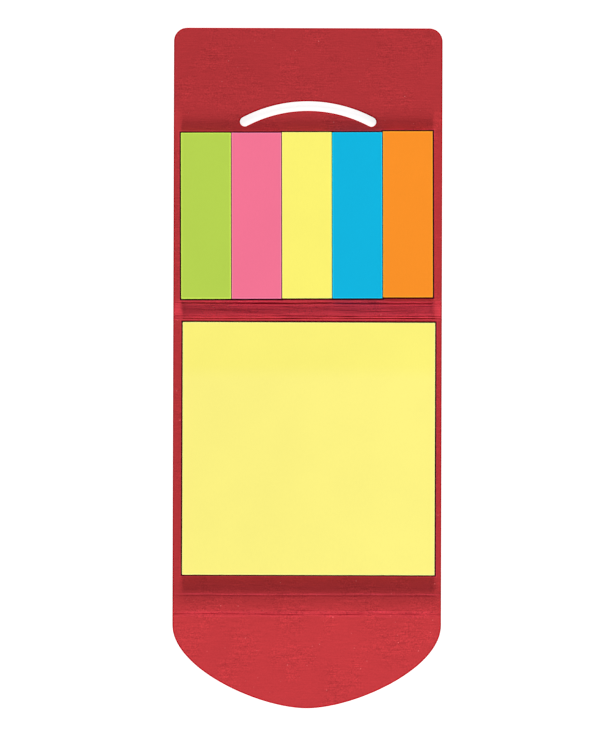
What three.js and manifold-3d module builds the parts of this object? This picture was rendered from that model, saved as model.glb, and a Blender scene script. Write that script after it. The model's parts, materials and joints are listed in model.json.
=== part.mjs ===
// Sticky note case, open and lying flat with its inner face up.
// One sheet of bonded leather is die-cut and creased into a front cover, a spine, a
// back cover, a narrow gusset and a closing flap. A square pad of sticky notes is
// taped to the back cover and a row of page-flag pads to the front cover. Folded up,
// the flap lies over the front cover and its tongue tucks into the arc-shaped slot.
//
// Units are millimetres. +X is to the right, +Y points to the free edge of the front
// cover and +Z is up. The origin is the middle of the open case, on its outer face.

import * as THREE from "three";
import { mergeVertices } from "three/addons/utils/BufferGeometryUtils.js";
import Module from "manifold-3d";

const wasm = await Module();
wasm.setup();

// Cover sheet
const SHEET_THICKNESS = 1.0;
const SIDE_MARGIN = 2.5;
const CORNER_RADIUS = 4.0;

// Creases, pressed into both faces, with the slit that parts two panels
const INNER_CREASE_WIDTH = 0.9;
const INNER_CREASE_DEPTH = 0.35;
const OUTER_CREASE_WIDTH = 0.6;
const OUTER_CREASE_DEPTH = 0.12;
const FOLD_SLIT = 0.3;

// Note pad on the back cover
const NOTE_SIZE = 76.0;
const NOTE_PAD_THICKNESS = 2.1;
const NOTE_SPINE_GAP = 1.5;
const NOTE_GUSSET_GAP = 6.0;
const NOTE_PAD_OFFSET = 0.45;

// Page-flag pads on the front cover
const FLAG_WIDTH = 15.0;
const FLAG_LENGTH = 50.0;
const FLAG_PAD_THICKNESS = 1.7;
const FLAG_GAP = 0.2;
const FLAG_SPINE_GAP = 1.5;
const FLAG_SET_OFFSET = -0.27;
const FLAG_SET_TURN_DEG = 0.25;

// Cut edges of a pad: the sheets part in thin bunches, with a fine groove between two
const BUNCH_HEIGHT = 0.3;
const BUNCH_GROOVE_WIDTH = 0.1;
const BUNCH_GROOVE_DEPTH = 0.07;

// Double-sided mounting tape
const TAPE_THICKNESS = 0.1;
const NOTE_TAPE_WIDTH = 12.0;
const NOTE_TAPE_INSET = 4.0;
const FLAG_TAPE_WIDTH = 30.0;
const FLAG_TAPE_INSET = 3.0;

// Arc slot that takes the tongue
const SLOT_RADIUS = 40.9;
const SLOT_CHORD = 38.2;
const SLOT_WIDTH = 2.9;
const SLOT_FLAG_GAP = 1.8;

// Closing flap: short straight sides, then one smooth curve to the tip of the tongue
const FLAP_SIDE_LENGTH = 3.5;
const FLAP_SHOULDER_FULLNESS = 0.525;
const FLAP_TIP_FULLNESS = 0.355;
const TUCK_LENGTH = 4.6;

// Room between the layers and edges of the closed case
const STACK_CLEARANCE = 0.3;
const COVER_EDGE_CLEARANCE = 0.5;
const FLAP_CLEARANCE = 0.4;

const CURVE_SEGMENTS = 20;
const GROOVE_SEGMENTS = 48;

// How far a cutting or crossing shape runs past what it cuts or crosses
const OVERRUN = 3.0;

const LEATHER_RED = "#b3343a";
const TAPE_COLOR = "#e9e6da";
const NOTE_YELLOW = "#fff382";

// Left to right. Each pad was stuck down by hand, a little off the row.
const FLAGS = [
  { name: "flag_pad_green", color: "#b6d44d", shift: -0.1 },
  { name: "flag_pad_pink", color: "#f37394", shift: -0.1 },
  { name: "flag_pad_yellow", color: "#fdf370", shift: 0 },
  { name: "flag_pad_blue", color: "#0db5df", shift: -0.05 },
  { name: "flag_pad_orange", color: "#fa9028", shift: 0.25 },
];

// Sizes that follow from those above
const flagSetWidth = FLAGS.length * FLAG_WIDTH + (FLAGS.length - 1) * FLAG_GAP;
const caseWidth = Math.max(NOTE_SIZE, flagSetWidth) + 2 * SIDE_MARGIN;
const notePadTop = TAPE_THICKNESS + NOTE_PAD_THICKNESS;
const flagPadTop = TAPE_THICKNESS + FLAG_PAD_THICKNESS;
const spineWidth = notePadTop + flagPadTop + STACK_CLEARANCE;
const backCoverLength = NOTE_SPINE_GAP + NOTE_SIZE + NOTE_GUSSET_GAP;
const frontCoverLength = backCoverLength - COVER_EDGE_CLEARANCE;
const gussetWidth = spineWidth + SHEET_THICKNESS + FLAP_CLEARANCE;

// The slot stands just beyond the flags, so the flap's length follows from its place
const slotRise = SLOT_RADIUS - Math.sqrt(SLOT_RADIUS ** 2 - (SLOT_CHORD / 2) ** 2);
const slotEndsFromSpine = FLAG_SPINE_GAP + FLAG_LENGTH + SLOT_FLAG_GAP + SLOT_WIDTH / 2;
const slotApexFromEdge = frontCoverLength - slotEndsFromSpine - slotRise;
const flapLength = COVER_EDGE_CLEARANCE + slotApexFromEdge + TUCK_LENGTH;

// Places along the open case, from the free edge of the front cover to the tongue's tip
const caseLength = frontCoverLength + spineWidth + backCoverLength + gussetWidth + flapLength;
const freeEdge = caseLength / 2;
const coverCrease = freeEdge - frontCoverLength;
const spineCrease = coverCrease - spineWidth;
const gussetCrease = spineCrease - backCoverLength;
const flapCrease = gussetCrease - gussetWidth;
const tongueTip = flapCrease - flapLength;
const creases = [coverCrease, spineCrease, gussetCrease, flapCrease];

function toSolid(geometry) {
  geometry.deleteAttribute("normal");
  geometry.deleteAttribute("uv");
  const merged = mergeVertices(geometry);
  return new wasm.Manifold(
    new wasm.Mesh({
      numProp: 3,
      vertProperties: Float32Array.from(merged.attributes.position.array),
      triVerts: Uint32Array.from(merged.index.array),
    }),
  );
}

function toGeometry(solid) {
  const { vertProperties, triVerts } = solid.getMesh();
  const geometry = new THREE.BufferGeometry();
  geometry.setAttribute("position", new THREE.BufferAttribute(vertProperties, 3));
  geometry.setIndex(new THREE.BufferAttribute(triVerts, 1));
  geometry.computeVertexNormals();
  return geometry;
}

function mesh(name, geometry, color, roughness) {
  const material = new THREE.MeshStandardMaterial({ color, roughness, metalness: 0 });
  const part = new THREE.Mesh(geometry, material);
  part.name = name;
  return part;
}

// The whole blank as it leaves the die: rounded free corners and the curved tongue
function blankOutline() {
  const side = caseWidth / 2;
  const cornerX = side - CORNER_RADIUS;
  const cornerY = freeEdge - CORNER_RADIUS;
  const shoulder = flapCrease - FLAP_SIDE_LENGTH;
  const shoulderHandle = shoulder - (shoulder - tongueTip) * FLAP_SHOULDER_FULLNESS;
  const tipHandle = side * FLAP_TIP_FULLNESS;
  const outline = new THREE.Shape();
  outline.moveTo(0, tongueTip);
  outline.bezierCurveTo(tipHandle, tongueTip, side, shoulderHandle, side, shoulder);
  outline.lineTo(side, cornerY);
  outline.absarc(cornerX, cornerY, CORNER_RADIUS, 0, Math.PI / 2, false);
  outline.lineTo(-cornerX, freeEdge);
  outline.absarc(-cornerX, cornerY, CORNER_RADIUS, Math.PI / 2, Math.PI, false);
  outline.lineTo(-side, shoulder);
  outline.bezierCurveTo(-side, shoulderHandle, -tipHandle, tongueTip, 0, tongueTip);
  return outline;
}

// A band of even width along an arc that bows towards the free edge, with round ends
function slotOutline() {
  const centre = freeEdge - slotApexFromEdge - SLOT_RADIUS;
  const halfAngle = Math.asin(SLOT_CHORD / 2 / SLOT_RADIUS);
  const start = Math.PI / 2 - halfAngle;
  const end = Math.PI / 2 + halfAngle;
  const endRadius = SLOT_WIDTH / 2;
  const endX = SLOT_RADIUS * Math.cos(end);
  const endY = centre + SLOT_RADIUS * Math.sin(end);
  const outline = new THREE.Path();
  outline.absarc(0, centre, SLOT_RADIUS + endRadius, start, end, false);
  outline.absarc(endX, endY, endRadius, end, end + Math.PI, false);
  outline.absarc(0, centre, SLOT_RADIUS - endRadius, end, start, true);
  outline.absarc(-endX, endY, endRadius, start + Math.PI, start + 2 * Math.PI, false);
  return outline;
}

// A shallow round-bottomed groove across the sheet; side is +1 on the inner face, -1 outside
function creaseGroove(crease, width, depth, side) {
  const radius = (width ** 2 / 4 + depth ** 2) / (2 * depth);
  const face = side > 0 ? SHEET_THICKNESS : 0;
  const length = caseWidth + 2 * OVERRUN;
  const roller = new THREE.CylinderGeometry(radius, radius, length, GROOVE_SEGMENTS);
  roller.rotateZ(Math.PI / 2);
  roller.translate(0, crease, face + side * (radius - depth));
  return toSolid(roller);
}

function creasedBlank() {
  const outline = blankOutline();
  outline.holes.push(slotOutline());
  const blank = new THREE.ExtrudeGeometry(outline, {
    depth: SHEET_THICKNESS,
    bevelEnabled: false,
    curveSegments: CURVE_SEGMENTS,
  });
  let solid = toSolid(blank);
  for (const crease of creases) {
    solid = solid.subtract(creaseGroove(crease, INNER_CREASE_WIDTH, INNER_CREASE_DEPTH, 1));
    solid = solid.subtract(creaseGroove(crease, OUTER_CREASE_WIDTH, OUTER_CREASE_DEPTH, -1));
  }
  return solid;
}

// The stretch of the blank between two places, short of a crease by half the slit
function panel(blank, low, high) {
  const from = low === tongueTip ? low - OVERRUN : low + FOLD_SLIT / 2;
  const to = high === freeEdge ? high + OVERRUN : high - FOLD_SLIT / 2;
  const width = caseWidth + 2 * OVERRUN;
  const height = SHEET_THICKNESS + 2 * OVERRUN;
  const slab = new THREE.BoxGeometry(width, to - from, height);
  slab.translate(0, (from + to) / 2, SHEET_THICKNESS / 2);
  return toGeometry(blank.intersect(toSolid(slab)));
}

function coverPanels() {
  const blank = creasedBlank();
  const spans = {
    front_cover: [coverCrease, freeEdge],
    spine: [spineCrease, coverCrease],
    back_cover: [gussetCrease, spineCrease],
    flap_gusset: [flapCrease, gussetCrease],
    closing_flap: [tongueTip, flapCrease],
  };
  return Object.entries(spans).map(([name, [low, high]]) =>
    mesh(name, panel(blank, low, high), LEATHER_RED, 0.6),
  );
}

// A strip of tape, on its own underside
function tapeStrip(length, width) {
  const strip = new THREE.BoxGeometry(length, width, TAPE_THICKNESS);
  return strip.translate(0, 0, TAPE_THICKNESS / 2);
}

// Section of a pad, span wide, whose two cut edges show the bunches of its sheets
function padSection(span, thickness) {
  const bunches = Math.max(1, Math.round(thickness / BUNCH_HEIGHT));
  const bunch = thickness / bunches;
  const edge = span / 2;
  const section = new THREE.Shape();
  section.moveTo(-edge, 0);
  section.lineTo(edge, 0);
  for (let i = 1; i < bunches; i += 1) {
    section.lineTo(edge, i * bunch - BUNCH_GROOVE_WIDTH / 2);
    section.lineTo(edge - BUNCH_GROOVE_DEPTH, i * bunch);
    section.lineTo(edge, i * bunch + BUNCH_GROOVE_WIDTH / 2);
  }
  section.lineTo(edge, thickness);
  section.lineTo(-edge, thickness);
  for (let i = bunches - 1; i > 0; i -= 1) {
    section.lineTo(-edge, i * bunch + BUNCH_GROOVE_WIDTH / 2);
    section.lineTo(-edge + BUNCH_GROOVE_DEPTH, i * bunch);
    section.lineTo(-edge, i * bunch - BUNCH_GROOVE_WIDTH / 2);
  }
  return section;
}

// That section run through along Y, past both ends of the pad
function padRun(span, run, thickness) {
  const depth = run + 2 * OVERRUN;
  const geometry = new THREE.ExtrudeGeometry(padSection(span, thickness), {
    depth,
    bevelEnabled: false,
  });
  return geometry.rotateX(Math.PI / 2).translate(0, depth / 2, 0);
}

// A stack of sheets trimmed square on all four sides, on its own underside
function pad(width, length, thickness) {
  const lengthwise = padRun(width, length, thickness);
  const crosswise = padRun(length, width, thickness).rotateZ(Math.PI / 2);
  return toGeometry(toSolid(lengthwise).intersect(toSolid(crosswise)));
}

// The note pad with a strip of tape near its upper and its lower edge
function noteSet() {
  const tapeLength = NOTE_SIZE - 2 * NOTE_TAPE_INSET;
  const tapePlace = NOTE_SIZE / 2 - NOTE_TAPE_INSET - NOTE_TAPE_WIDTH / 2;
  const strip = tapeStrip(tapeLength, NOTE_TAPE_WIDTH);
  const upperTape = mesh("note_tape_upper", strip, TAPE_COLOR, 0.5);
  const lowerTape = mesh("note_tape_lower", strip.clone(), TAPE_COLOR, 0.5);
  const sheets = pad(NOTE_SIZE, NOTE_SIZE, NOTE_PAD_THICKNESS);
  const notePad = mesh("note_pad", sheets, NOTE_YELLOW, 0.9);
  upperTape.position.y = tapePlace;
  lowerTape.position.y = -tapePlace;
  notePad.position.z = TAPE_THICKNESS;
  const set = new THREE.Group();
  set.add(upperTape, lowerTape, notePad);
  set.position.set(
    NOTE_PAD_OFFSET,
    spineCrease - NOTE_SPINE_GAP - NOTE_SIZE / 2,
    SHEET_THICKNESS,
  );
  return set;
}

// The flag pads side by side on one wide strip of tape
function flagSet() {
  const tapeLength = flagSetWidth - 2 * FLAG_TAPE_INSET;
  const set = new THREE.Group();
  set.add(mesh("flag_tape", tapeStrip(tapeLength, FLAG_TAPE_WIDTH), TAPE_COLOR, 0.5));
  FLAGS.forEach(({ name, color, shift }, index) => {
    const flagPad = mesh(name, pad(FLAG_WIDTH, FLAG_LENGTH, FLAG_PAD_THICKNESS), color, 0.85);
    const place = index - (FLAGS.length - 1) / 2;
    flagPad.position.set(place * (FLAG_WIDTH + FLAG_GAP), shift, TAPE_THICKNESS);
    set.add(flagPad);
  });
  set.position.set(
    FLAG_SET_OFFSET,
    coverCrease + FLAG_SPINE_GAP + FLAG_LENGTH / 2,
    SHEET_THICKNESS,
  );
  set.rotation.z = THREE.MathUtils.degToRad(FLAG_SET_TURN_DEG);
  return set;
}

const stickyNoteCase = new THREE.Group();
stickyNoteCase.add(...coverPanels(), noteSet(), flagSet());

export default stickyNoteCase;
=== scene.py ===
"""The looks of the sticky note case: creased leatherette, stacks of paper, light and camera.

Meshes are worked out in millimetres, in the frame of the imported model, and are stored in
metres. The inner face of the sheet looks up, and +Y points to the front cover's free edge.
"""

import json
import math

import bpy
import numpy as np
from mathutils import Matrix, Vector
from mathutils.geometry import delaunay_2d_cdt


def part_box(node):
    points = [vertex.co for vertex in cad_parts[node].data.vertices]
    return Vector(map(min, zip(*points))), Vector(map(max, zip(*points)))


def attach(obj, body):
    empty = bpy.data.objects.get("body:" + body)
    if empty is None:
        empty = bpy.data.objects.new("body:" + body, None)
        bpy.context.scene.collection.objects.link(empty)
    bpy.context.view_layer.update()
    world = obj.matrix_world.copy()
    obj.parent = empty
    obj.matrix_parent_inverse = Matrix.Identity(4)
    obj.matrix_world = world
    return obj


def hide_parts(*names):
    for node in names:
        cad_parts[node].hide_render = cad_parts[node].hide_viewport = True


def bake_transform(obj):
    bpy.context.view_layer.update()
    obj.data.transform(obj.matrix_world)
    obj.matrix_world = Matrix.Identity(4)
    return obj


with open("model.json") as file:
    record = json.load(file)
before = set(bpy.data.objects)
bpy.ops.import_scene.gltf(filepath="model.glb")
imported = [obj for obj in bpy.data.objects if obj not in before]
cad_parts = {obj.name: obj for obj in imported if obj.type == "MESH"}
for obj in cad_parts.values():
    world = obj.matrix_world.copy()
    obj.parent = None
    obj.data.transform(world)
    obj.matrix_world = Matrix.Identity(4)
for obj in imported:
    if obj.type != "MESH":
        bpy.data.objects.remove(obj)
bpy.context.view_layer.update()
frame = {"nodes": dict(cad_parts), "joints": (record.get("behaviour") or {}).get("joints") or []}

MM = 0.001

# Places taken from the frame
fold = {j["name"]: j["pos_m"][1] / MM for j in frame["joints"]}
COVER_CREASE = fold["cover_fold"]
SPINE_CREASE = fold["spine_fold"]
GUSSET_CREASE = fold["gusset_fold"]
FLAP_CREASE = fold["flap_fold"]
cover_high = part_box("front_cover")[1]
FREE_EDGE = cover_high.y / MM
HALF_WIDTH = cover_high.x / MM
THICKNESS = cover_high.z / MM
TONGUE_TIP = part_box("closing_flap")[0].y / MM

CREASES = (COVER_CREASE, SPINE_CREASE, GUSSET_CREASE, FLAP_CREASE)
SPINE_MIDDLE = (SPINE_CREASE + COVER_CREASE) / 2
SPINE_HALF = (COVER_CREASE - SPINE_CREASE) / 2
GUSSET_MIDDLE = (GUSSET_CREASE + FLAP_CREASE) / 2
GUSSET_HALF = (GUSSET_CREASE - FLAP_CREASE) / 2

# Outline of the die-cut sheet
CORNER_RADIUS = 4.0
CORNER_STEPS = 14
CORNER_CLEARANCE = 0.3
SLOT_RADIUS = 40.9
SLOT_CHORD = 38.2
SLOT_WIDTH = 2.9
SLOT_APEX = FREE_EDGE - 23.516
SLOT_STEPS = 56
SLOT_END_STEPS = 14
SHOULDER = FLAP_CREASE - 3.5
SHOULDER_FULLNESS = 0.525
TIP_FULLNESS = 0.355
TONGUE_POINTS = 60

# Cut edge of the sheet: its rounding, the turns of its rings, and the band that it takes up
EDGE_ROUNDING = 0.18
EDGE_TURNS_DEG = (15, 40, 65, 90)
EDGE_BAND = 0.6

# Mesh spacing over the flat stretches and over the creased ones
COARSE = 0.9
FINE = 0.09
CREASED_MARGIN = 1.7
STRIP_HALF = 1.0
SHARP_DEG = 40

# Distances at which a point counts as lying on a line, and two points as one
ON_LINE = 1e-6
MERGE_DISTANCE = 1e-7

# Added to an end of the sheet that is no cut line, so that it isn't taken for one
PAST_SHEET = 1

# Panels of the sheet: piece, the node it replaces, its body, and where it ends along Y
PANELS = [
    ("front_cover_panel", "front_cover", "front", COVER_CREASE + STRIP_HALF, FREE_EDGE),
    ("spine_panel", "spine", "spine", SPINE_CREASE + STRIP_HALF, COVER_CREASE - STRIP_HALF),
    ("back_cover_panel", "back_cover", "back", GUSSET_CREASE + STRIP_HALF, SPINE_CREASE - STRIP_HALF),
    ("gusset_panel", "flap_gusset", "gusset", FLAP_CREASE + STRIP_HALF, GUSSET_CREASE - STRIP_HALF),
    ("closing_flap_panel", "closing_flap", "flap", TONGUE_TIP, FLAP_CREASE - STRIP_HALF),
]

# Strips over the creases: piece, crease, both bodies, and the side of the second one
STRIPS = [
    ("cover_crease_strip", COVER_CREASE, "spine", "front", 1),
    ("spine_crease_strip", SPINE_CREASE, "back", "spine", 1),
    ("gusset_crease_strip", GUSSET_CREASE, "back", "gusset", -1),
    ("flap_crease_strip", FLAP_CREASE, "gusset", "flap", -1),
]

# Stacks of paper: size, turn, number of sheets, lift of the top sheet's free end, and seed
FLAG_SIZE = (15.0, 50.0)
FLAG_TURN_DEG = 0.25
FLAG_SHEETS = 20
FLAG_LIFT = 0.1
FLAG_SEED = 40
NOTE_SIZE = (76.0, 76.0)
NOTE_SHEETS = 24
NOTE_LIFT = 0.22
NOTE_SEED = 31
UPPER_END = 1
LOWER_END = -1

# One sheet: its trim and its share of the room for a sheet, and how far it is shuffled
SHEET_TRIM = 0.1
SHEET_TRIM_SPREAD = 0.12
SHEET_THICKNESS_SHARE = 0.86
SHEET_SHIFT = 0.035
SHEET_SKEW = 0.0004

# Size and least number of a sheet's mesh cells along X and Y
SHEET_CELLS = (5, 4)
LEAST_CELLS = (6, 10)

# Bow of the free end, from this share of the sheet on, and a ripple all over
BOW_START = 0.12
BOW_REACH = 0.38
BOW_VARIATION = 0.25
BOW_WAVES = 3
RIPPLE = 0.004
RIPPLE_WAVES = (7, 5)
RIPPLE_SHIFT = 1.7

# Colours of the papers
FLAG_COLORS = {
    "green": (0.46, 0.645, 0.078),
    "pink": (0.89, 0.172, 0.295),
    "yellow": (0.96, 0.88, 0.163),
    "blue": (0.0035, 0.45, 0.725),
    "orange": (0.93, 0.275, 0.019),
}
NOTE_COLOR = (0.97, 0.88, 0.22)

# Rim of a sheet: its width, the share of the length where it starts, and how bright its painted
# highlight is
PAPER_RIM = 0.4
RIM_FROM = 0.499
RIM_HIGHLIGHT_GAIN = 1.5

# Painted shade on a stack's sides
SIDE_SHADE = 0.5

# Glued band at the top of the notes: its height, soft edge and deeper colour
GLUE_HEIGHT = 16
GLUE_EDGE = (-2, 4)
GLUE_TINT = (0.985, 0.99, 0.86)

PADS = [(f"flag_pad_{name}", FLAG_SIZE, FLAG_TURN_DEG) for name in FLAG_COLORS]
PADS.append(("note_pad", NOTE_SIZE, 0.0))

# Camera above the case: the photograph's scale, its centre and its slight roll
PIXEL_MM = 0.3015
PHOTO_HEIGHT = 735
CAMERA_LENS = 200.0
CAMERA_SENSOR = 36.0
CAMERA_X = 0.03
CAMERA_Y = 0.2
CAMERA_ROLL_DEG = 0.163

# Lamps: name, azimuth and elevation in degrees, distance, size and power
LAMPS = [
    ("upper_bar", 90, 19, 1.2, (0.35, 0.46), 19.9),
    ("lower_bar", -90, 23, 1.2, (0.35, 0.42), 15.4),
    ("right_bar", 0, 24, 0.36, (0.3, 0.12), 0.32),
    ("left_bar", 180, 24, 0.4, (0.3, 0.12), 0.2),
]
WORLD_STRENGTH = 0.035
FLOOR_HALF = 3.0
FLOOR_DROP = 0.02
FLOOR_COLOR = (0.35, 0.35, 0.35, 1)
FLOOR_ROUGHNESS = 0.9
FLOOR_GLOW = 0.87


# Sheet surface

WRINKLE_SLOPE = 0.012
WRINKLE_WIDTHS = (0.07, 0.14)
WRINKLE_WANDER = 0.07
WRINKLE_WAVE = 4.5
WRINKLE_REACH = 1.5


def wrinkles(seed, count, low, high, lengths, heights):
    """Fine folds that run across the sheet between two places, as a list of their sizes."""
    rng = np.random.RandomState(seed)
    found = []
    for _ in range(count):
        found.append(
            {
                "y": rng.uniform(low, high),
                "x": rng.uniform(-HALF_WIDTH, HALF_WIDTH),
                "half": rng.uniform(*lengths),
                "slope": rng.normal(0, WRINKLE_SLOPE),
                "height": rng.uniform(*heights) * rng.choice([-1, -1, 1]),
                "width": rng.uniform(*WRINKLE_WIDTHS),
                "phase": rng.uniform(0, 2 * math.pi),
            }
        )
    return found


# The first two numbers are the seed and the number of folds, the last pairs lengths and heights
WRINKLES = [
    *wrinkles(11, 150, SPINE_CREASE - 0.6, COVER_CREASE + 0.8, (2, 12), (0.008, 0.024)),
    *wrinkles(23, 110, FLAP_CREASE - 0.6, GUSSET_CREASE + 0.2, (1, 6), (0.004, 0.011)),
    *wrinkles(37, 50, FLAP_CREASE - 0.7, FLAP_CREASE + 0.9, (1, 5), (0.006, 0.014)),
]


def wrinkle_height(x, y):
    """Height of the fine folds: above 0 on a ridge and below it in a furrow."""
    total = np.zeros_like(x)
    for w in WRINKLES:
        near = np.abs(y - w["y"]) < WRINKLE_REACH
        dx = x[near] - w["x"]
        wander = WRINKLE_WANDER * np.sin(x[near] / WRINKLE_WAVE + w["phase"])
        centre = w["y"] + w["slope"] * dx + wander
        across = np.exp(-(((y[near] - centre) / w["width"]) ** 2))
        along = np.exp(-((dx / w["half"]) ** 4))
        total[near] += w["height"] * across * along
    return total


# Grooves pressed into the inner face: crease, offset from it, depth and width
GROOVES = [
    (COVER_CREASE, 0.27, 0.17, 0.34),
    (COVER_CREASE, -0.7, 0.05, 0.14),
    (SPINE_CREASE, 0.28, 0.12, 0.17),
    (SPINE_CREASE, -0.42, 0.13, 0.22),
    (GUSSET_CREASE, -0.2, 0.09, 0.29),
    (FLAP_CREASE, 0.18, 0.1, 0.42),
    (FLAP_CREASE, -0.85, 0.05, 0.15),
]
GROOVE_WANDER = 0.05
GROOVE_WAVES = (17.0, 6.1)
LIP_PLACE = 1.9
LIP_SHARE = 0.22


def groove_depth(x, y):
    """Depth of the grooves, each with a low lip on both sides."""
    slow, quick = GROOVE_WAVES
    total = np.zeros_like(x)
    for crease, offset, depth, width in GROOVES:
        wander = GROOVE_WANDER * (np.sin(x / slow + offset) + 0.5 * np.sin(x / quick + crease))
        lip = width * LIP_PLACE
        s = y - crease - offset - wander
        total += depth * np.exp(-((s / width) ** 2))
        total -= LIP_SHARE * depth * np.exp(-(((np.abs(s) - lip) / width) ** 2))
    return total


# Slow undulation of the inner face, its waves along X and Y, and how far the face is let down
UNDULATION = 0.02
UNDULATION_WAVES = ((13.0, 31.0, 0.0), (-29.0, 17.0, 1.0))
FACE_DROP = 0.03

# Line on the outer face where a crease shows through
OUTER_LINE_DEPTH = 0.1
OUTER_LINE_WIDTH = 0.26


def inner_face(x, y):
    """Height of the inner face: grooves, fine wrinkles and a slow undulation."""
    slow = sum(UNDULATION * np.sin(x / wx + y / wy + phase) for wx, wy, phase in UNDULATION_WAVES)
    return THICKNESS - groove_depth(x, y) + wrinkle_height(x, y) + slow - FACE_DROP


def outer_face(x, y):
    """Height of the outer face, with a faint line where each crease shows through."""
    total = np.zeros_like(x)
    for crease in CREASES:
        total += OUTER_LINE_DEPTH * np.exp(-(((y - crease) / OUTER_LINE_WIDTH) ** 2))
    return total


# Wear at each crease, and wear with painted light over the spine, where it fades out towards both
# ends
CREASE_WEAR = (
    (COVER_CREASE, 0.6),
    (SPINE_CREASE, 0.6),
    (GUSSET_CREASE, 0.12),
    (FLAP_CREASE, 0.16),
)
CREASE_WEAR_WIDTH = 0.8
# Wear over the spine, which is partly painted light
SPINE_WEAR_AND_LIGHT = 0.9
SPINE_WEAR_MARGIN = 0.6
SPINE_WEAR_SOFTNESS = 0.15
END_WEAR = 0.35
END_WEAR_LENGTH = 3.0
END_WEAR_SOFTNESS = 0.35
OUTER_FACE_SHARE = 0.12
LARGEST_EXPONENT = 50


def soft_step(past, softness):
    """1 well below 0, and 0 well above it."""
    return 1 / (1 + np.exp(np.minimum(past / softness, LARGEST_EXPONENT)))


def crease_wear_and_spine_light(x, y):
    """0 on untouched leather to 1 where folding has paled it; over the spine it is partly painted
    light.
    """
    total = np.zeros_like(x)
    for crease, most in CREASE_WEAR:
        total += most * np.exp(-(((y - crease) / CREASE_WEAR_WIDTH) ** 2))
    # Over the spine the paling is partly painted light
    spine = soft_step(np.abs(y - SPINE_MIDDLE) - SPINE_HALF - SPINE_WEAR_MARGIN, SPINE_WEAR_SOFTNESS)
    ends = soft_step(np.abs(x) - HALF_WIDTH + END_WEAR_LENGTH, END_WEAR_SOFTNESS)
    worn = np.maximum(np.clip(total, 0, 1), SPINE_WEAR_AND_LIGHT * spine)
    return worn * (END_WEAR + (1 - END_WEAR) * ends)


# Painted shade and light lines along the creases: crease, offset from it, and strength, below 0 where
# it is paler with painted light
CREASE_LINES = [
    (COVER_CREASE, 0.55, -0.75),
    (COVER_CREASE, -0.02, 0.7),
    (SPINE_CREASE, 0.78, -0.5),
    (SPINE_CREASE, 0.4, 0.75),
    (SPINE_CREASE, 0.13, -0.6),
    (SPINE_CREASE, -0.26, 0.75),
    (SPINE_CREASE, -0.6, -0.7),
    (GUSSET_CREASE, 0.04, -0.55),
    (GUSSET_CREASE, -0.44, 0.45),
    (FLAP_CREASE, 0.95, 0.3),
    (FLAP_CREASE, 0.6, -0.2),
    (FLAP_CREASE, -0.25, 0.95),
    (FLAP_CREASE, -0.95, -0.35),
]
LINE_HALF_WIDTH = 0.14
LINE_WANDERS = ((0.07, 9.0), (0.04, 2.7))
LINE_BREAK = 0.35
LINE_BREAK_WAVES = (5.3, 1.9)


def crease_line(x, y):
    """Strength of the painted shade and light lines along the creases, which wander a little and are
    broken.
    """
    (far, far_wave), (near, near_wave) = LINE_WANDERS
    slow, quick = LINE_BREAK_WAVES
    total = np.zeros_like(x)
    for crease, offset, strength in CREASE_LINES:
        wander = far * np.sin(x / far_wave + offset * 5) + near * np.sin(x / near_wave + crease)
        gaps = np.sin(x / slow + crease) * np.sin(x / quick + offset * 9)
        across = np.exp(-(((y - crease - offset - wander) / LINE_HALF_WIDTH) ** 2))
        total += strength * (1 - LINE_BREAK + LINE_BREAK * gaps) * across
    return total


# Shares of the grooves and the fine wrinkles in the furrows' painted shade and the ridges' painted
# light, and its fading at the ends
GROOVE_TONE = 0.8
WRINKLE_TONE = 20
END_FADING = 0.5


def furrow(x, y):
    """How deep a place lies in a groove or a fine wrinkle, with the painted crease lines added, which
    sets its painted shade: below 0 on a ridge, which gets painted light.
    """
    lines = groove_depth(x, y) * GROOVE_TONE + crease_line(x, y)
    fading = 1 - END_FADING * (x / HALF_WIDTH) ** 2
    return np.clip(lines - wrinkle_height(x, y) * WRINKLE_TONE * fading, -1, 1)


# Cracked finish: how much of it, and how wide, at the flap's crease, on the gusset and spine
FLAP_CRACKS = 0.9
FLAP_CRACKS_OFFSET = 0.2
FLAP_CRACKS_WIDTH = 1.0
GUSSET_CRACKS = 0.5
GUSSET_CRACKS_SOFTNESS = 0.4
SPINE_CRACKS = 0.35
SPINE_CRACKS_WIDTH = 2.6


def cracking(x, y):
    """How far the finish has cracked: most at the flap's crease, some on the gusset."""
    flap_place = (y - FLAP_CREASE - FLAP_CRACKS_OFFSET) / FLAP_CRACKS_WIDTH
    flap = FLAP_CRACKS * np.exp(-(flap_place**2))
    past_gusset = np.abs(y - GUSSET_MIDDLE) - GUSSET_HALF
    gusset = GUSSET_CRACKS * soft_step(past_gusset, GUSSET_CRACKS_SOFTNESS)
    spine = SPINE_CRACKS * np.exp(-(((y - SPINE_MIDDLE) / SPINE_CRACKS_WIDTH) ** 4))
    return np.clip(flap + gusset + spine, 0, 1)


# Sheet outline

def rows_between(low, high):
    """Places along Y where the mesh has rows, closer together near the creases."""
    rows = np.arange(TONGUE_TIP, FREE_EDGE, COARSE)
    zones = (
        (SPINE_CREASE - CREASED_MARGIN, COVER_CREASE + CREASED_MARGIN),
        (FLAP_CREASE - CREASED_MARGIN, GUSSET_CREASE + CREASED_MARGIN),
    )
    for start, end in zones:
        rows = rows[(rows < start) | (rows > end)]
        rows = np.concatenate([rows, np.arange(start, end, FINE)])
    rows = np.sort(rows)
    return rows[(rows > low + FINE / 2) & (rows < high - FINE / 2)]


COLUMNS = np.linspace(
    -(HALF_WIDTH - EDGE_BAND),
    HALF_WIDTH - EDGE_BAND,
    1 + round(2 * HALF_WIDTH / COARSE),
)


def straight_sides(low, high):
    """Both straight sides with their ends, the right one going up and the left one down."""
    ys = np.concatenate([[low], rows_between(low, high), [high]])
    right = np.column_stack([np.full_like(ys, HALF_WIDTH), ys])
    left = np.column_stack([np.full_like(ys, -HALF_WIDTH), ys[::-1]])
    return right, left


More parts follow.
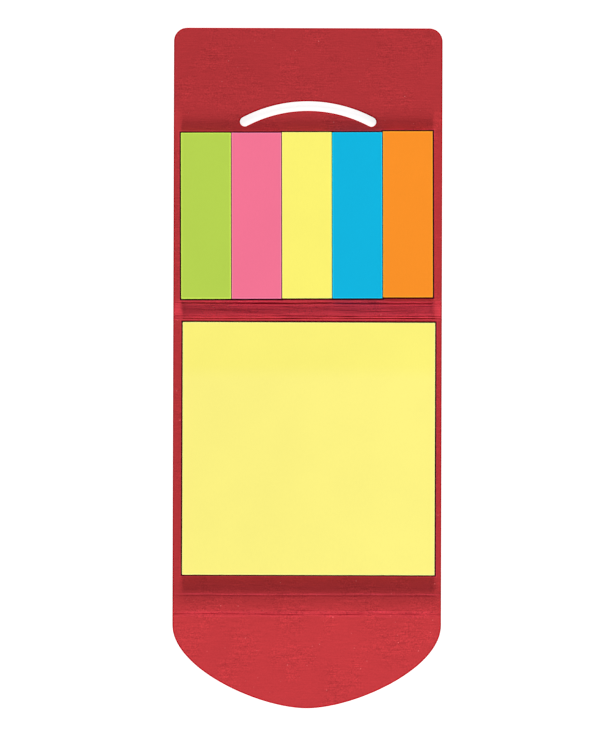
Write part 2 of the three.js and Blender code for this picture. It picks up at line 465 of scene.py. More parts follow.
def cut_line(y):
    """Points across the sheet, without the two on its sides."""
    inside = COLUMNS[1:-1]
    return np.column_stack([inside, np.full_like(inside, y)])


def arc(cx, cy, radius, start, end, steps):
    a = np.linspace(start, end, steps + 1)
    return np.column_stack([cx + radius * np.cos(a), cy + radius * np.sin(a)])


def tongue_side():
    """The right half of the tongue's curve, from its shoulder to the tip."""
    t = np.linspace(0, 1, TONGUE_POINTS)[:, None]
    handle = SHOULDER - (SHOULDER - TONGUE_TIP) * SHOULDER_FULLNESS
    p0 = np.array([HALF_WIDTH, SHOULDER])
    p1 = np.array([HALF_WIDTH, handle])
    p2 = np.array([HALF_WIDTH * TIP_FULLNESS, TONGUE_TIP])
    p3 = np.array([0.0, TONGUE_TIP])
    return (
        (1 - t) ** 3 * p0
        + 3 * (1 - t) ** 2 * t * p1
        + 3 * (1 - t) * t**2 * p2
        + t**3 * p3
    )


def panel_loop(low, high):
    """Outline of a panel between two cut lines, counter-clockwise."""
    right, left = straight_sides(low, high)
    return np.concatenate([cut_line(low), right, cut_line(high)[::-1], left])


def front_cover_loop(low):
    """Outline of the front cover with its two rounded corners, counter-clockwise."""
    corner_x = HALF_WIDTH - CORNER_RADIUS
    corner_y = FREE_EDGE - CORNER_RADIUS
    right, left = straight_sides(low, corner_y)
    top = COLUMNS[np.abs(COLUMNS) < corner_x - CORNER_CLEARANCE][::-1]
    quarter = math.pi / 2
    return np.concatenate(
        [
            cut_line(low),
            right,
            arc(corner_x, corner_y, CORNER_RADIUS, 0, quarter, CORNER_STEPS)[1:],
            np.column_stack([top, np.full_like(top, FREE_EDGE)]),
            arc(-corner_x, corner_y, CORNER_RADIUS, quarter, math.pi, CORNER_STEPS)[:-1],
            left,
        ]
    )


def closing_flap_loop(high):
    """Outline of the closing flap with its tongue, counter-clockwise."""
    right, left = straight_sides(SHOULDER, high)
    side = tongue_side()
    mirrored = side[1:] * (-1, 1)
    return np.concatenate([right, cut_line(high)[::-1], left, mirrored, side[1:-1][::-1]])


def slot_loop():
    """The arc-shaped slot, clockwise, because it is a hole."""
    centre = SLOT_APEX - SLOT_RADIUS
    half = math.asin(SLOT_CHORD / 2 / SLOT_RADIUS)
    start, end = math.pi / 2 - half, math.pi / 2 + half
    r = SLOT_WIDTH / 2
    end_x = SLOT_RADIUS * math.cos(end)
    end_y = centre + SLOT_RADIUS * math.sin(end)
    loop = np.concatenate(
        [
            arc(0, centre, SLOT_RADIUS + r, start, end, SLOT_STEPS)[:-1],
            arc(end_x, end_y, r, end, end + math.pi, SLOT_END_STEPS)[:-1],
            arc(0, centre, SLOT_RADIUS - r, end, start, SLOT_STEPS)[:-1],
            arc(-end_x, end_y, r, start - math.pi, start, SLOT_END_STEPS)[:-1],
        ]
    )
    return loop[::-1]


def outward(loop, cuts):
    """Unit normals that point off the sheet; none where the sheet goes on past a cut line."""
    ahead = np.roll(loop, -1, axis=0) - loop
    behind = loop - np.roll(loop, 1, axis=0)
    ahead /= np.linalg.norm(ahead, axis=1)[:, None]
    behind /= np.linalg.norm(behind, axis=1)[:, None]
    along = ahead + behind
    along /= np.linalg.norm(along, axis=1)[:, None]
    normals = np.column_stack([along[:, 1], -along[:, 0]])
    for cut in cuts:
        on_cut = np.abs(loop[:, 1] - cut) < ON_LINE
        corner = np.abs(np.abs(loop[:, 0]) - HALF_WIDTH) < ON_LINE
        normals[on_cut] = 0
        normals[on_cut & corner, 0] = np.sign(loop[on_cut & corner, 0])
    return normals


def inside_loop(points, loop):
    x, y = points[:, 0], points[:, 1]
    odd = np.zeros(len(points), bool)
    for (x0, y0), (x1, y1) in zip(loop, np.roll(loop, -1, axis=0)):
        if y0 != y1:
            crosses = (y0 > y) != (y1 > y)
            odd ^= crosses & (x < x0 + (y - y0) * (x1 - x0) / (y1 - y0))
    return odd


def distance_to_loop(points, loop):
    best = np.full(len(points), np.inf)
    for start, end in zip(loop, np.roll(loop, -1, axis=0)):
        edge = end - start
        t = np.clip((points - start) @ edge / (edge @ edge), 0, 1)
        gap = np.linalg.norm(points - start - t[:, None] * edge, axis=1)
        best = np.minimum(best, gap)
    return best


# Sheet meshes

def inside_outline(points, loops):
    """Which points lie in the first loop and in none of the other ones."""
    keep = inside_loop(points, loops[0])
    for hole in loops[1:]:
        keep &= ~inside_loop(points, hole)
    return keep


def triangulate(loops, low, high):
    """Triangles that fill the first loop outside the other ones, over a grid of rows."""
    xs, ys = np.meshgrid(COLUMNS[1:-1], rows_between(low, high))
    grid = np.column_stack([xs.ravel(), ys.ravel()])
    grid = grid[inside_outline(grid, loops)]
    clear = np.min([distance_to_loop(grid, loop) for loop in loops], axis=0)
    grid = grid[clear > FINE / 2]
    points = np.concatenate([*loops, grid])
    edges = []
    first = 0
    for loop in loops:
        n = len(loop)
        edges += [(first + i, first + (i + 1) % n) for i in range(n)]
        first += n
    corners = [Vector(p) for p in points]
    _, _, faces, sources, *_ = delaunay_2d_cdt(corners, edges, [], 0, MERGE_DISTANCE)
    triangles = np.array([[sources[i][0] for i in face] for face in faces])
    triangles = triangles[inside_outline(points[triangles].mean(axis=1), loops)]
    a, b, c = (points[triangles[:, i]] for i in range(3))
    turn = (b[:, 0] - a[:, 0]) * (c[:, 1] - a[:, 1]) - (b[:, 1] - a[:, 1]) * (c[:, 0] - a[:, 0])
    triangles[turn < 0] = triangles[turn < 0][:, ::-1]
    return points, triangles


def edge_rings():
    """Inset and drop of each ring of the cut edge, from the inner face to the outer one."""
    r = EDGE_ROUNDING
    inner = [(r * (1 - math.sin(a)), r * (1 - math.cos(a))) for a in np.radians(EDGE_TURNS_DEG)]
    upper = [(inset, drop, True) for inset, drop in inner]
    return upper + [(inset, drop, False) for inset, drop in inner[::-1]]


def mesh_object(name, vertices, faces):
    """An object from vertices in millimetres, which it also keeps as the attribute rest."""
    mesh = bpy.data.meshes.new(name)
    mesh.from_pydata((np.asarray(vertices) * MM).tolist(), [], faces)
    mesh.polygons.foreach_set("use_smooth", [True] * len(mesh.polygons))
    mesh.set_sharp_from_angle(angle=math.radians(SHARP_DEG))
    rest = mesh.attributes.new("rest", "FLOAT_VECTOR", "POINT")
    rest.data.foreach_set("vector", np.asarray(vertices, np.float32).ravel())
    obj = bpy.data.objects.new(name, mesh)
    bpy.context.scene.collection.objects.link(obj)
    return obj


def store(obj, name, values, domain="POINT"):
    attribute = obj.data.attributes.new(name, "FLOAT", domain)
    attribute.data.foreach_set("value", np.asarray(values, np.float32))


def sheet_piece(name, outline, low, high, holes=()):
    """A closed stretch of the sheet, with rounded cut edges and flat ends at the cut lines."""
    outlines = [outline, *holes]
    normals = [outward(loop, (low, high)) for loop in outlines]
    inner_loops = [loop - EDGE_BAND * n for loop, n in zip(outlines, normals)]
    points, triangles = triangulate(inner_loops, low, high)
    count = len(points)
    x, y = points.T
    vertices = [
        np.column_stack([x, y, inner_face(x, y)]),
        np.column_stack([x, y, outer_face(x, y)]),
    ]
    edge = [np.zeros(count), np.zeros(count)]
    faces = triangles.tolist() + (triangles[:, ::-1] + count).tolist()
    made = 2 * count
    first = 0
    for loop, normal in zip(outlines, normals):
        n = len(loop)
        rings = [np.arange(first, first + n)]
        on_edge = np.abs(normal).sum(axis=1) > 0
        for inset, drop, upper in edge_rings():
            at = loop - inset * normal
            height = inner_face(*at.T) - drop if upper else outer_face(*at.T) + drop
            vertices.append(np.column_stack([at, height]))
            edge.append(on_edge.astype(float))
            rings.append(np.arange(made, made + n))
            made += n
        rings.append(np.arange(first + count, first + count + n))
        for above, below in zip(rings, rings[1:]):
            for i in range(n):
                j = (i + 1) % n
                faces.append([above[i], below[i], below[j], above[j]])
        first += n
    vertices = np.concatenate(vertices)
    obj = mesh_object(name, vertices, [[int(i) for i in face] for face in faces])
    store(obj, "edge", np.concatenate(edge))
    x, y, z = vertices.T
    share = np.where(z > THICKNESS / 2, 1.0, OUTER_FACE_SHARE)
    # Wear, which over the spine is partly painted light
    store(obj, "wear_and_light", crease_wear_and_spine_light(x, y) * share)
    # Painted shade in furrows and painted light on ridges
    store(obj, "furrow", furrow(x, y) * share)
    store(obj, "cracked", cracking(x, y) * share)
    return obj


# Materials

# What a range of values turns into: it fades in, or it fades out
RISING = (0.0, 1.0)
FALLING = (1.0, 0.0)

# The part of a noise texture's range that holds most of its contrast
CONTRAST = (0.3, 0.7)


class Nodes:
    """A material's node tree, with short calls for the nodes that the materials share."""

    def __init__(self, name):
        self.material = bpy.data.materials.new(name)
        self.material.use_nodes = True
        self.tree = self.material.node_tree
        self.shader = self.tree.nodes["Principled BSDF"]

    def node(self, kind, settings=None, **inputs):
        made = self.tree.nodes.new(kind)
        for key, value in (settings or {}).items():
            setattr(made, key, value)
        for key, value in inputs.items():
            self.put(made.inputs[key.replace("_", " ")], value)
        return made

    def put(self, socket, value):
        if isinstance(value, bpy.types.NodeSocket):
            self.tree.links.new(value, socket)
        else:
            socket.default_value = value

    def attribute(self, name):
        return self.node("ShaderNodeAttribute", {"attribute_name": name})

    def stretched(self, vector, scale):
        made = self.node("ShaderNodeVectorMath", {"operation": "MULTIPLY"})
        self.put(made.inputs[0], vector)
        made.inputs[1].default_value = scale
        return made.outputs[0]

    def noise(self, vector, scale, detail=3.0, roughness=0.55):
        made = self.node(
            "ShaderNodeTexNoise",
            Vector=vector,
            Scale=scale,
            Detail=detail,
            Roughness=roughness,
        )
        return made.outputs["Fac"]

    def cells(self, vector, scale):
        return self.node("ShaderNodeTexVoronoi", Vector=vector, Scale=scale).outputs["Distance"]

    def ranged(self, value, source, target, smooth=False):
        """A value that lies in one range, moved to another one, and held at its ends."""
        kind = "SMOOTHSTEP" if smooth else "LINEAR"
        made = self.node("ShaderNodeMapRange", {"interpolation_type": kind}, Value=value)
        names = ("From Min", "From Max", "To Min", "To Max")
        for name, number in zip(names, (*source, *target)):
            made.inputs[name].default_value = number
        return made.outputs[0]

    def math(self, operation, a, b):
        made = self.node("ShaderNodeMath", {"operation": operation})
        self.put(made.inputs[0], a)
        self.put(made.inputs[1], b)
        return made.outputs[0]

    def product(self, first, *others):
        for other in others:
            first = self.math("MULTIPLY", first, other)
        return first

    def mixed(self, factor, a, b):
        """Two colours mixed. The Mix node has them in its inputs 6 and 7 and its output 2."""
        made = self.node("ShaderNodeMix", {"data_type": "RGBA"})
        for socket, value in ((0, factor), (6, a), (7, b)):
            self.put(made.inputs[socket], value)
        return made.outputs[2]

    def scaled(self, color, factor):
        made = self.node("ShaderNodeVectorMath", {"operation": "SCALE"})
        self.put(made.inputs[0], color)
        self.put(made.inputs["Scale"], factor)
        return made.outputs[0]

    def bump(self, height, strength, distance, normal=None):
        made = self.node("ShaderNodeBump", Height=height, Strength=strength, Distance=distance)
        if normal is not None:
            self.put(made.inputs["Normal"], normal)
        return made.outputs[0]


# Colours of the leatherette, its specks, and the painted shade at a pad's foot
LEATHER = (0.42, 0.031, 0.0365, 1)
# Paler leather where it is worn, also used for painted light on the spine, on ridges and in a line
# beside the pads
LEATHER_WORN_AND_LIT = (0.8, 0.055, 0.098, 1)
# Painted shade in the furrows of grooves, wrinkles and crease lines
LEATHER_FURROW_SHADE = (0.24, 0.006, 0.014, 1)
LEATHER_CUT = (0.38, 0.0, 0.004, 1)
SPECK_LIGHT = (0.7, 0.2, 0.2, 1)
SPECK_DARK = (0.2, 0.01, 0.014, 1)
PAD_FOOT_SHADE = (0.016, 0.001, 0.008, 1)

# Layers of the leather's tone: the noise's stretch, scale, detail and roughness, the part of
# its range that is used, what that turns into, and whether it turns smoothly
EVEN = (1.0, 1.0, 1.0)
TONE_LAYERS = {
    "blotch": (EVEN, 0.05, 2.0, 0.55, CONTRAST, (0.97, 1.03), False),
    "patches": ((1.0, 0.7, 1.0), 0.11, 2.0, 0.55, (0.42, 0.62), (0.25, 1.0), True),
    "mottle": ((0.7, 1.0, 1.0), 0.9, 4.0, 0.7, CONTRAST, (-0.1, 0.1), False),
    "streak": ((0.16, 1.9, 1.0), 1.3, 3.0, 0.65, CONTRAST, (-0.14, 0.14), False),
    "grain": (EVEN, 2.1, 2.0, 0.7, CONTRAST, (-0.2, 0.2), False),
    "worn streak": ((0.1, 4.6, 1.0), 1.0, 2.0, 0.6, CONTRAST, (-0.24, 0.24), False),
    "cracks": ((0.8, 2.4, 1.0), 1.5, 3.0, 0.75, (0.52, 0.68), (0.0, -0.42), True),
    "chips": ((1.1, 2.0, 1.0), 1.7, 2.0, 0.7, (0.6, 0.72), (0.0, 0.22), True),
}

# Paler stretches: places along Y, with the tone at each
PALER_FLAP = ((FLAP_CREASE - 0.5, FLAP_CREASE + 4.2), (1.16, 1.0))
PALER_END = ((GUSSET_CREASE - 2.0, GUSSET_CREASE), (1.16, 1.02))
# Tones over the worn places; over the spine the rise is partly painted light
WEAR_AND_LIGHT_TONES = (1.0, 1.24)

# Margins beside the pads, paler with painted light: where they begin from the middle, and where they
# fade along Y
LIT_MARGIN_START = (HALF_WIDTH - 2.9, HALF_WIDTH - 2.2)
LIT_MARGIN_TONES = (0.0, 0.1)
LIT_MARGIN_LOWER_END = (GUSSET_CREASE + 2, GUSSET_CREASE + 6)
LIT_MARGIN_UPPER_END = (FREE_EDGE - 26, FREE_EDGE - 23)

# Depths at which painted shade darkens a furrow and painted light pales a ridge, with how far, and
# the cut edge's fading
FURROW_SHADE = ((0.05, 0.8), (0.0, 0.9))
RIDGE_LIGHT = ((-0.6, -0.05), (0.6, 0.0))
CUT_FADE = (0.2, 0.8)

# Specks: stretch and scale of their cells, the distances at which they fade, and their strength
LIGHT_SPECKS = (EVEN, 0.38, (0.035, 0.065), (0.9, 0.0))
DARK_SPECKS = ((1.0, 1.35, 1.0), 0.33, (0.035, 0.07), (0.7, 0.0))

# Distances from a pad's edge: the painted shade at its foot, and the painted light line beyond it
FOOT_SHADE_FADE = (0.34, 0.56)
FOOT_SHADE_TONES = (0.97, 0.0)
FOOT_SHADE_START = (-0.8, -0.5)
LIT_LINE_START = (0.48, 0.56)
LIT_LINE_TONES = (0.0, 0.35)
LIT_LINE_END = (0.68, 0.85)

# Heights that part the inner face from the pebbled outer one
INNER_HEIGHTS = (0.5, 0.6)
OUTER_HEIGHTS = (0.15, 0.4)

# Relief: scale, detail and roughness of a noise, and strength and distance in metres of a bump
GRAIN_NOISE = (2.6, 4.0, 0.65)
GRAIN_BUMP = (0.35, 0.00006)
STREAK_RELIEF = 4.0
PEBBLE_SCALE = 1.3
PEBBLE_EDGE = (0.0, 0.16)
PEBBLE_BUMP = (0.55, 0.00012)
FIBRE_NOISE = (2.2, 4.0, 0.7)
FIBRE_STRETCH = (1.0, 0.35, 1.0)
FIBRE_BUMP = (0.2, 0.00003)

# Tones of the noise in the papers and the tape, and the gloss and roughness of all three
CLOUD_TONES = (0.985, 1.012)
FIBRE_TONES = (0.988, 1.01)
TAPE_TONES = (0.92, 1.05)
LEATHER_ROUGHNESS = (0.6, 0.76)
LEATHER_GLOSS = 0.05
PAPER_ROUGHNESS = 0.85
PAPER_GLOSS = 0.06
TAPE_COLOR = (0.76, 0.73, 0.64, 1)
TAPE_ROUGHNESS = 0.45
# Distances from the pads over which the tape between them fades into painted shade
TAPE_GAP_SHADE = (-0.3, -0.1)


def pad_footprints():
    """Centre, half size and turn of each pad, on the sheet."""
    found = []
    for node, size, turn in PADS:
        low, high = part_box(node)
        centre = ((low.x + high.x) / 2 / MM, (low.y + high.y) / 2 / MM)
        found.append((centre, (size[0] / 2, size[1] / 2), turn))
    return found


def pad_gap(m, at, centre, half, turn_deg):
    """Distance from a pad's footprint, in millimetres; below 0 under the pad."""
    place = m.node("ShaderNodeMapping", {"vector_type": "TEXTURE"}, Vector=at)
    place.inputs["Location"].default_value = (*centre, 0)
    place.inputs["Rotation"].default_value = (0, 0, math.radians(turn_deg))
    across = m.node("ShaderNodeVectorMath", {"operation": "ABSOLUTE"})
    m.put(across.inputs[0], place.outputs[0])
    past = m.node("ShaderNodeVectorMath", {"operation": "SUBTRACT"})
    m.put(past.inputs[0], across.outputs[0])
    past.inputs[1].default_value = (*half, 0)
    split = m.node("ShaderNodeSeparateXYZ", Vector=past.outputs[0])
    return m.math("MAXIMUM", split.outputs["X"], split.outputs["Y"])


def nearest_pad(m, at):
    """Distance from the nearest pad's footprint, in millimetres; below 0 under a pad."""
    nearest, *others = [pad_gap(m, at, *footprint) for footprint in pad_footprints()]
    for gap in others:
        nearest = m.math("MINIMUM", nearest, gap)
    return nearest


def leather_tone(m, layer, place, wear_and_light, cracked):
    """Blotches, grain and cracks, paler stretches, margins paler with painted light, and the spine
    paler with wear and painted light.
    """
    fine = m.math("ADD", m.math("ADD", layer["mottle"], layer["streak"]), layer["grain"])
    fine = m.product(fine, layer["patches"])
    fine = m.math("ADD", fine, m.product(layer["worn streak"], wear_and_light))
    broken = m.math("ADD", layer["cracks"], layer["chips"])
    fine = m.math("ADD", fine, m.product(broken, cracked))
    flap = m.ranged(place["Y"], *PALER_FLAP, True)
    end = m.ranged(place["Y"], *PALER_END, True)
    # Margins beside the pads made paler with painted light
    lit_margin = m.ranged(m.math("ABSOLUTE", place["X"], 0.0), LIT_MARGIN_START, LIT_MARGIN_TONES, True)
    lit_margin = m.product(
        lit_margin,
        m.ranged(place["Y"], LIT_MARGIN_LOWER_END, RISING, True),
        m.ranged(place["Y"], LIT_MARGIN_UPPER_END, FALLING, True),
    )
    return m.product(
        layer["blotch"],
        m.math("ADD", fine, 1.0),
        m.product(flap, end),
        m.math("ADD", lit_margin, 1.0),
        # Worn places paler, partly with painted light over the spine
        m.ranged(wear_and_light, RISING, WEAR_AND_LIGHT_TONES),
    )


def specks(m, at, patches, stretch, scale, distances, strengths):
    found = m.ranged(m.cells(m.stretched(at, stretch), scale), distances, strengths, True)
    return m.product(found, patches)


def leather_color(m, at, patches, inner, wear_and_light):
    """Worn creases and a worn spine that is partly painted light, painted shade in furrows and
    painted light on ridges, specks, the cut edge, painted shade round each pad's foot and a painted
    light line beyond it.
    """
    depth = m.attribute("furrow").outputs["Fac"]
    edge = m.attribute("edge").outputs["Fac"]
    # Worn places paler, partly with painted light over the spine
    color = m.mixed(wear_and_light, LEATHER, LEATHER_WORN_AND_LIT)
    # Painted shade in the furrows and painted light on the ridges
    color = m.mixed(m.ranged(depth, *FURROW_SHADE), color, LEATHER_FURROW_SHADE)
    color = m.mixed(m.ranged(depth, *RIDGE_LIGHT), color, LEATHER_WORN_AND_LIT)
    color = m.mixed(specks(m, at, patches, *LIGHT_SPECKS), color, SPECK_LIGHT)
    color = m.mixed(specks(m, at, patches, *DARK_SPECKS), color, SPECK_DARK)
    color = m.mixed(m.ranged(edge, CUT_FADE, RISING, True), color, LEATHER_CUT)
    gap = nearest_pad(m, at)
    # A painted light line just beyond each pad's foot
    lit_line_start = m.ranged(gap, LIT_LINE_START, LIT_LINE_TONES)
    lit_line = m.product(inner, lit_line_start, m.ranged(gap, LIT_LINE_END, FALLING))
    color = m.mixed(lit_line, color, LEATHER_WORN_AND_LIT)
    # Painted shade at each pad's foot, on the inner face
    foot_shade = m.ranged(gap, FOOT_SHADE_FADE, FOOT_SHADE_TONES, True)
    foot_shade = m.product(foot_shade, m.ranged(gap, FOOT_SHADE_START, RISING), inner)
    return m.mixed(foot_shade, color, PAD_FOOT_SHADE)


def leather_relief(m, at, streak, height):
    """Fine grain on both faces, and pebbles on the outer one."""
    grain = m.math("ADD", m.noise(at, *GRAIN_NOISE), m.product(streak, STREAK_RELIEF))
    fine = m.bump(grain, *GRAIN_BUMP)
    edges = {"feature": "DISTANCE_TO_EDGE"}
    cells = m.node("ShaderNodeTexVoronoi", edges, Vector=at, Scale=PEBBLE_SCALE)
    pebbles = m.ranged(cells.outputs["Distance"], PEBBLE_EDGE, RISING, True)
    pebbles = m.product(pebbles, m.ranged(height, OUTER_HEIGHTS, FALLING))
    return m.bump(pebbles, *PEBBLE_BUMP, fine)


def leatherette():
    """Bonded leather: mottled red with a fine grain along X, specks, worn creases, painted shade and
    light in the creases, over the spine and round the pads, dark edges.
    """
    m = Nodes("red_leatherette")
    at = m.attribute("rest").outputs["Vector"]
    wear_and_light = m.attribute("wear_and_light").outputs["Fac"]
    cracked = m.attribute("cracked").outputs["Fac"]
    place = m.node("ShaderNodeSeparateXYZ", Vector=at).outputs
    inner = m.ranged(place["Z"], INNER_HEIGHTS, RISING)
    layer = {}
    for name, (stretch, scale, detail, roughness, *change) in TONE_LAYERS.items():
        layer[name] = m.ranged(m.noise(m.stretched(at, stretch), scale, detail, roughness), *change)
    tone = leather_tone(m, layer, place, wear_and_light, cracked)
    color = leather_color(m, at, layer["patches"], inner, wear_and_light)
    rough = m.ranged(m.noise(at, 0.8), CONTRAST, LEATHER_ROUGHNESS)
    relief = leather_relief(m, at, layer["streak"], place["Z"])
    m.put(m.shader.inputs["Base Color"], m.scaled(color, tone))
    m.put(m.shader.inputs["Roughness"], rough)
    m.put(m.shader.inputs["Normal"], relief)
    m.shader.inputs["Specular IOR Level"].default_value = LEATHER_GLOSS
    return m.material


def paper(name, color, glued_from=None):
    """Matt coloured paper: a faint fibre, rims with a painted highlight, painted shade on the stack's
    sides, and deeper at the glue.
    """
    m = Nodes(name)
    at = m.attribute("rest").outputs["Vector"]
    rim = m.attribute("rim").outputs["Fac"]
    side = m.attribute("side").outputs["Fac"]
    cloud = m.ranged(m.noise(at, 0.05, 2.0), CONTRAST, CLOUD_TONES)
    fibre = m.noise(m.stretched(at, FIBRE_STRETCH), *FIBRE_NOISE)
    # The stack's sides darkened with painted shade
    tone = m.product(
        cloud,
        m.ranged(fibre, CONTRAST, FIBRE_TONES),
        m.ranged(side, RISING, (1.0, SIDE_SHADE)),
    )
    face = (*color, 1)
    if glued_from is not None:
        y = m.node("ShaderNodeSeparateXYZ", Vector=at).outputs["Y"]
        glued = m.ranged(y, [glued_from + edge for edge in GLUE_EDGE], RISING, True)
        deeper = (*(part * tint for part, tint in zip(color, GLUE_TINT)), 1)
        face = m.mixed(glued, face, deeper)
    # The rim of each sheet paler with a painted highlight
    highlight = (*(min(1.0, RIM_HIGHLIGHT_GAIN * part) for part in color), 1)
    m.put(m.shader.inputs["Base Color"], m.scaled(m.mixed(rim, face, highlight), tone))
    m.shader.inputs["Roughness"].default_value = PAPER_ROUGHNESS
    m.shader.inputs["Specular IOR Level"].default_value = PAPER_GLOSS
    m.put(m.shader.inputs["Normal"], m.bump(fibre, *FIBRE_BUMP))
    return m.material


def tape_material():
    """Double-sided tape, pale under the pads, with painted shade where it shows between them."""
    m = Nodes("mounting_tape")
    place = m.node("ShaderNodeTexCoord").outputs["Object"]
    at = m.stretched(place, (1 / MM, 1 / MM, 1 / MM))
    # Painted shade where the tape shows in the gaps between the pads
    gap_shade = m.ranged(nearest_pad(m, at), TAPE_GAP_SHADE, RISING, True)
    tone = m.ranged(m.noise(at, 0.9), CONTRAST, TAPE_TONES)
    color = m.mixed(gap_shade, TAPE_COLOR, PAD_FOOT_SHADE)
    m.put(m.shader.inputs["Base Color"], m.scaled(color, tone))
    m.shader.inputs["Roughness"].default_value = TAPE_ROUGHNESS
    return m.material


# Pads of paper

def sheet_places(length, steps):
    """Places along one side of a sheet, as shares of its length, with a narrow rim at each end."""
    rim = PAPER_RIM / length
    inner = np.linspace(rim - 0.5, 0.5 - rim, steps - 1)
    return np.concatenate([[-0.5], inner, [0.5]])


def pad_piece(name, node, size, sheets, turn_deg, seed, lift, lifted_end):
    """A stack of sheets in a node's place. The free end of the upper sheets stands up a little."""
    rng = np.random.RandomState(seed)
    low, high = (np.array(corner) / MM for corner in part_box(node))
    centre = (low + high)[:2] / 2
    pitch = (high[2] - low[2]) / sheets
    thick = pitch * SHEET_THICKNESS_SHARE
    turn = math.radians(turn_deg)
    nx, ny = (
        max(least, round(side / cell))
        for least, side, cell in zip(LEAST_CELLS, size, SHEET_CELLS)
    )
    n = (nx + 1) * (ny + 1)
    uu, vv = np.meshgrid(sheet_places(size[0], nx), sheet_places(size[1], ny))
    on_rim = ((np.abs(uu) > RIM_FROM) | (np.abs(vv) > RIM_FROM)).ravel()
    rise = np.clip((vv * lifted_end - BOW_START) / BOW_REACH, 0, 1) ** 2
    vertices, faces = [], []
    for k in range(sheets):
        top_sheet = k == sheets - 1
        spread = 0.0 if top_sheet else 1.0
        dx, dy = rng.normal(0, SHEET_SHIFT, 2) * spread
        skew = turn + rng.normal(0, SHEET_SKEW) * spread
        trim = SHEET_TRIM + (0.0 if top_sheet else rng.uniform(0.0, SHEET_TRIM_SPREAD))
        x = uu * (size[0] - trim)
        y = vv * (size[1] - trim)
        uneven = 1 + BOW_VARIATION * np.sin(BOW_WAVES * uu + k)
        bow = lift * (k / (sheets - 1)) ** 2 * rise * uneven
        ripple = RIPPLE * np.sin(uu * RIPPLE_WAVES[0] + k * RIPPLE_SHIFT)
        ripple = ripple * np.sin(vv * RIPPLE_WAVES[1] + k)
        z = low[2] + k * pitch + bow + ripple * min(1.0, k / 3)
        wx = centre[0] + x * math.cos(skew) - y * math.sin(skew) + dx
        wy = centre[1] + x * math.sin(skew) + y * math.cos(skew) + dy
        vertices.append(np.column_stack([wx.ravel(), wy.ravel(), z.ravel()]))
        vertices.append(np.column_stack([wx.ravel(), wy.ravel(), z.ravel() + thick]))
        faces += sheet_faces(2 * n * k, nx, ny, n)
    obj = mesh_object(name, np.concatenate(vertices), faces)
    store(obj, "rim", np.tile(on_rim, 2 * sheets))
    is_side = np.repeat([0.0, 1.0], [2 * nx * ny, 2 * (nx + ny)])
    store(obj, "side", np.tile(is_side, sheets), "FACE")
    return obj


def sheet_faces(base, nx, ny, n):
    """Faces of a thin closed sheet: a lower grid, an upper grid and the edges between them."""
    faces = []
    across = nx + 1
    for j in range(ny):
        for i in range(nx):
            a = base + j * across + i
            b, c, d = a + 1, a + across + 1, a + across
            faces.append([d, c, b, a])
            faces.append([a + n, b + n, c + n, d + n])
    rim = [(i, 0) for i in range(nx)]
    rim += [(nx, j) for j in range(ny)]
    rim += [(i, ny) for i in range(nx, 0, -1)]
    rim += [(0, j) for j in range(ny, 0, -1)]
    ids = [base + j * across + i for i, j in rim]
    for a, b in zip(ids, ids[1:] + ids[:1]):
        faces.append([a, b, b + n, a + n])
    return faces


# Camera, floor and light

def add_camera():
    data = bpy.data.cameras.new("camera")
    data.sensor_width = CAMERA_SENSOR
    data.lens = CAMERA_LENS
    camera = bpy.data.objects.new("camera", data)
    distance = PIXEL_MM * PHOTO_HEIGHT * CAMERA_LENS / CAMERA_SENSOR
    camera.location = (CAMERA_X * MM, CAMERA_Y * MM, (distance + THICKNESS) * MM)
    camera.rotation_euler = (0, 0, math.radians(CAMERA_ROLL_DEG))
    bpy.context.scene.collection.objects.link(camera)
    bpy.context.scene.camera = camera


def add_bar(name, azimuth_deg, elevation_deg, distance, size, power):
    """A long soft lamp that faces the case. Azimuth is from +X towards +Y."""
    data = bpy.data.lights.new(name, "AREA")
    data.shape = "RECTANGLE"
    data.size, data.size_y = size
    data.energy = power
    lamp = bpy.data.objects.new(name, data)
    a, e = math.radians(azimuth_deg), math.radians(elevation_deg)
    towards = Vector((math.cos(a) * math.cos(e), math.sin(a) * math.cos(e), math.sin(e)))
    lamp.location = towards * distance
    lamp.rotation_mode = "QUATERNION"
    lamp.rotation_quaternion = towards.to_track_quat("Z", "Y")
    bpy.context.scene.collection.objects.link(lamp)


def add_world():
    """Weak even light from all sides, which the camera sees as plain white."""
    world = bpy.data.worlds.new("world")
    world.use_nodes = True
    tree = world.node_tree
    background = tree.nodes["Background"]
    background.inputs["Color"].default_value = (1, 1, 1, 1)
    background.inputs["Strength"].default_value = WORLD_STRENGTH
    seen = tree.nodes.new("ShaderNodeBackground")
    seen.inputs["Color"].default_value = (1, 1, 1, 1)
    rays = tree.nodes.new("ShaderNodeLightPath")
    mix = tree.nodes.new("ShaderNodeMixShader")
    tree.links.new(rays.outputs["Is Camera Ray"], mix.inputs[0])
    tree.links.new(background.outputs[0], mix.inputs[1])
    tree.links.new(seen.outputs[0], mix.inputs[2])
    tree.links.new(mix.outputs[0], tree.nodes["World Output"].inputs["Surface"])
    bpy.context.scene.world = world


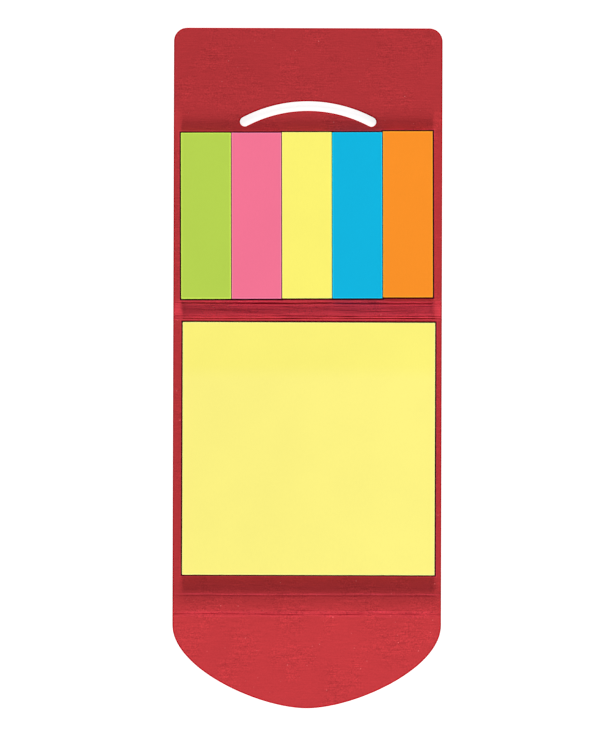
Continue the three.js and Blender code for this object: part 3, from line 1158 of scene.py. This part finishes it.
def add_floor():
    """A table top: it keeps the case's soft shadow, and the camera sees it white beyond it."""
    half = FLOOR_HALF
    mesh = bpy.data.meshes.new("floor")
    corners = [(-half, -half, 0), (half, -half, 0), (half, half, 0), (-half, half, 0)]
    mesh.from_pydata(corners, [], [(0, 1, 2, 3)])
    floor = bpy.data.objects.new("floor", mesh)
    floor.location.z = -FLOOR_DROP * MM
    bpy.context.scene.collection.objects.link(floor)
    m = Nodes("floor_white")
    m.shader.inputs["Base Color"].default_value = FLOOR_COLOR
    m.shader.inputs["Roughness"].default_value = FLOOR_ROUGHNESS
    glow = m.node("ShaderNodeEmission", Strength=FLOOR_GLOW)
    rays = m.node("ShaderNodeLightPath")
    both = m.node("ShaderNodeAddShader")
    m.tree.links.new(m.shader.outputs[0], both.inputs[0])
    m.tree.links.new(glow.outputs[0], both.inputs[1])
    mix = m.node("ShaderNodeMixShader")
    m.tree.links.new(rays.outputs["Is Camera Ray"], mix.inputs[0])
    m.tree.links.new(m.shader.outputs[0], mix.inputs[1])
    m.tree.links.new(both.outputs[0], mix.inputs[2])
    output = m.tree.nodes["Material Output"]
    m.tree.links.new(mix.outputs[0], output.inputs["Surface"])
    mesh.materials.append(m.material)


# Assembly

def add_sheet():
    """The five panels, and the strips over the creases between them."""
    leather = leatherette()
    for name, node, body, low, high in PANELS:
        if node == "front_cover":
            loop = front_cover_loop(low)
            piece = sheet_piece(name, loop, low, high + PAST_SHEET, [slot_loop()])
        elif node == "closing_flap":
            piece = sheet_piece(name, closing_flap_loop(high), low - PAST_SHEET, high)
        else:
            piece = sheet_piece(name, panel_loop(low, high), low, high)
        piece.data.materials.append(leather)
        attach(piece, body)
        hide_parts(node)
    for name, crease, near, far, side in STRIPS:
        low, high = crease - STRIP_HALF, crease + STRIP_HALF
        piece = sheet_piece(name, panel_loop(low, high), low, high)
        piece.data.materials.append(leather)
        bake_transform(piece)


def add_pads():
    """The flags, which are free at their upper ends, and the notes, free at their lower edge."""
    for order, (name, color) in enumerate(FLAG_COLORS.items()):
        node = f"flag_pad_{name}"
        shape = (FLAG_SIZE, FLAG_SHEETS, FLAG_TURN_DEG, FLAG_SEED + order, FLAG_LIFT, UPPER_END)
        piece = pad_piece(f"flags_{name}", node, *shape)
        piece.data.materials.append(paper(f"flag_paper_{name}", color))
        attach(piece, "front")
        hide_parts(node)
    shape = (NOTE_SIZE, NOTE_SHEETS, 0, NOTE_SEED, NOTE_LIFT, LOWER_END)
    piece = pad_piece("notes", "note_pad", *shape)
    glued_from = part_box("note_pad")[1].y / MM - GLUE_HEIGHT
    piece.data.materials.append(paper("note_paper", NOTE_COLOR, glued_from))
    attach(piece, "back")
    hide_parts("note_pad")


def dress_tape():
    material = tape_material()
    for node in ("note_tape_upper", "note_tape_lower", "flag_tape"):
        obj = frame["nodes"][node]
        obj.data.materials.clear()
        obj.data.materials.append(material)


bpy.context.scene.view_settings.view_transform = "Standard"
add_camera()
add_world()
for bar in LAMPS:
    add_bar(*bar)
add_floor()
add_sheet()
add_pads()
dress_tape()
